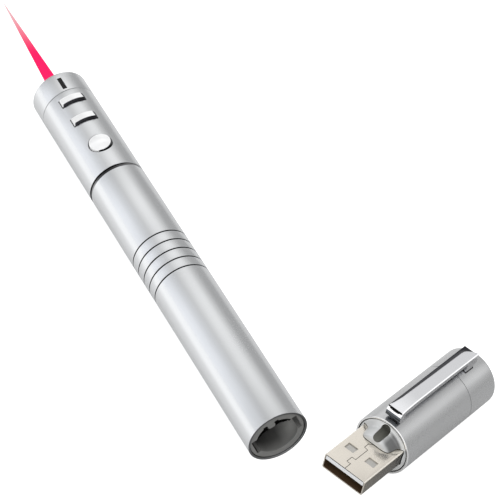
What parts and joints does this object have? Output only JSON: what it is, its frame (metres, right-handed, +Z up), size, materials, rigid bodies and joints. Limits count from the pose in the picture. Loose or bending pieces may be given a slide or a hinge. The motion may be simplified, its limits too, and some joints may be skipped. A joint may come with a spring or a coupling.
{
  "type": "laser pointer",
  "caption": "Slim tube-shaped laser pointer and slide changer with keys near its tip, and beside it the plug-in radio receiver that stows in its tail and carries the pocket clip.",
  "frame": {"origin": "On the table, under the middle of the whole object as it lies: pointer and receiver side by side.", "axes": "+Y runs along the pointer from its open tail to the laser's aperture, +Z is up from the table, and the receiver lies to the +X side."},
  "size_m": [0.0666, 0.1524, 0.019],
  "materials": {
    "barrel_aluminium": "satin anodised, fine lengthwise grain",
    "receiver_aluminium": "satin anodised, slightly darker than the pointer",
    "chrome": "polished plating",
    "plug_steel": "warm satin nickel plate",
    "nickel": "bright nickel plate",
    "brass": "turned",
    "gold_plate": "thin gold plate",
    "liner_plastic": "fine matt moulding",
    "nose_plastic": "satin silver-grey moulding",
    "black_plastic": "matt",
    "white_plastic": "matt moulding",
    "smoked_window": "smoked gloss",
    "indicator_red": "tinted lens",
    "circuit_board": "solder mask",
    "battery_jacket": "plain printed jacket",
    "lens_glass": "polished"
  },
  "bodies": {
    "rear_section": {"rear_barrel": "barrel_aluminium", "dock_liner": "liner_plastic", "battery_sleeve": "black_plastic", "battery": "battery_jacket", "negative_contact": "nickel", "battery_spring": "nickel", "threaded_collar": "brass"},
    "joint_ring": {"trim_ring": "chrome"},
    "front_section": {"front_barrel": "barrel_aluminium", "thread_insert": "brass", "head": "barrel_aluminium", "indicator_window": "smoked_window", "aperture_window": "lens_glass", "laser_housing": "brass", "laser_diode": "gold_plate", "laser_lens": "lens_glass", "front_chassis": "white_plastic", "positive_contact": "nickel", "circuit_board": "circuit_board", "laser_switch": "nickel", "page_back_switch": "nickel", "page_forward_switch": "nickel", "radio_chip": "black_plastic", "radio_crystal": "nickel", "indicator_led": "indicator_red"},
    "page_forward_key": {"page_forward_button": "chrome"},
    "page_back_key": {"page_back_button": "chrome"},
    "laser_key": {"laser_button": "chrome"},
    "receiver": {"receiver_sleeve": "receiver_aluminium", "receiver_end_cap": "receiver_aluminium", "receiver_nose": "nose_plastic", "plug_shell": "plug_steel", "plug_tongue": "black_plastic", "plug_terminal_1": "gold_plate", "plug_terminal_2": "gold_plate", "plug_terminal_3": "gold_plate", "plug_terminal_4": "gold_plate", "receiver_board": "circuit_board", "receiver_chip": "black_plastic", "receiver_crystal": "nickel", "clip_pin": "nickel", "clip_bracket": "nickel", "clip_leaf_spring": "nickel"},
    "pocket_clip": {"clip": "chrome"}
  },
  "joints": [
    {"name": "thread_advance", "type": "slide", "parent": "rear_section", "child": "joint_ring", "axis": [0, 1, 0], "range_m": [0, 0.0052]},
    {"name": "front_unscrew", "type": "hinge", "parent": "joint_ring", "child": "front_section", "pos_m": [-0.02557, 0, 0.00773], "axis": [0, 1, 0], "range_deg": [0, 1800]},
    {"name": "page_forward_press", "type": "slide", "parent": "front_section", "child": "page_forward_key", "axis": [0.2588, 0, -0.9659], "range_m": [0, 0.00035], "stiffness_N_per_m": 1500, "springref_m": -0.0003},
    {"name": "page_back_press", "type": "slide", "parent": "front_section", "child": "page_back_key", "axis": [0.2588, 0, -0.9659], "range_m": [0, 0.00035], "stiffness_N_per_m": 1500, "springref_m": -0.0003},
    {"name": "laser_press", "type": "slide", "parent": "front_section", "child": "laser_key", "axis": [0.2588, 0, -0.9659], "range_m": [0, 0.00035], "stiffness_N_per_m": 1500, "springref_m": -0.0003},
    {"name": "receiver_slide", "type": "slide", "parent": "rear_section", "child": "receiver", "axis": [-0.9205, -0.3907, 0], "range_m": [0, 0.02]},
    {"name": "clip_open", "type": "hinge", "parent": "receiver", "child": "pocket_clip", "pos_m": [0.02468, -0.05321, 0.01293], "axis": [-0.3907, 0.9205, 0], "range_deg": [0, 8], "stiffness_Nm_per_rad": 0.5, "springref_deg": -2.86}
  ],
  "couplings": [
    {"joint": "thread_advance", "follows": "front_unscrew", "m_per_rad": 0.00015915}
  ]
}
